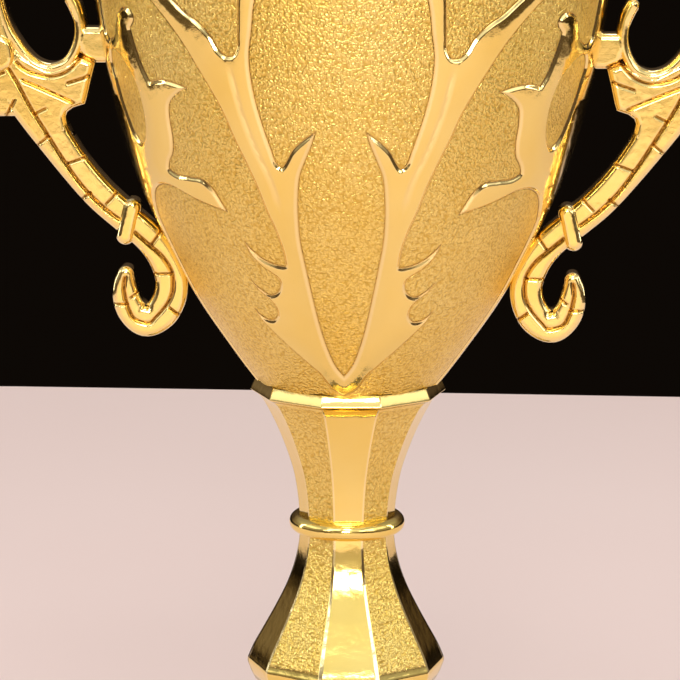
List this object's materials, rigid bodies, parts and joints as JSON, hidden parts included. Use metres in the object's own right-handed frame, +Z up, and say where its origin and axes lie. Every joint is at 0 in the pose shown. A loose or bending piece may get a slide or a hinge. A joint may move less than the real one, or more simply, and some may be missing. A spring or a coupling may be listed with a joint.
{
  "type": "cup trophy",
  "caption": "Tall gold cup trophy with leaf relief, flat scroll handles at its sides, a faceted stem and a round black base, clamped by a threaded rod.",
  "frame": {"origin": "middle of the underside, on the surface that the trophy stands on", "axes": "+Z up along the stem, +X to the right handle, -Y to the front with the name plate"},
  "size_m": [0.1678, 0.12, 0.275],
  "materials": {
    "gold": "ABS with a mirror gold vacuum-metallised coat; satin grain on the sunk ground",
    "base_black": "polished black moulding",
    "steel": "bright zinc plate",
    "weight": "rough casting",
    "board": "pressed fibre board",
    "felt": "green wool felt",
    "tape": "foam tape",
    "plate": "gold anodised, brushed",
    "spreader": "natural plastic"
  },
  "bodies": {
    "root": {"foot": "gold", "lower_ring": "gold", "riser_seat": "gold", "riser": "gold", "stem_ring": "gold", "calyx": "gold", "bowl_front_half": "gold", "bowl_back_half": "gold", "bowl_rim": "gold", "handle_right": "gold", "handle_left": "gold", "base_trim_ring": "gold", "felt_pad": "felt", "base_plate": "board", "base_plate_screws": "steel", "base_weight": "weight", "base_cover": "base_black", "plate_tape": "tape", "name_plate": "plate", "bowl_spreader": "spreader", "handle_washers": "steel", "handle_screws": "steel", "tie_rod": "steel", "bottom_washer": "steel", "bottom_nut": "steel", "top_washer": "steel", "top_nut": "steel"}
  },
  "joints": []
}
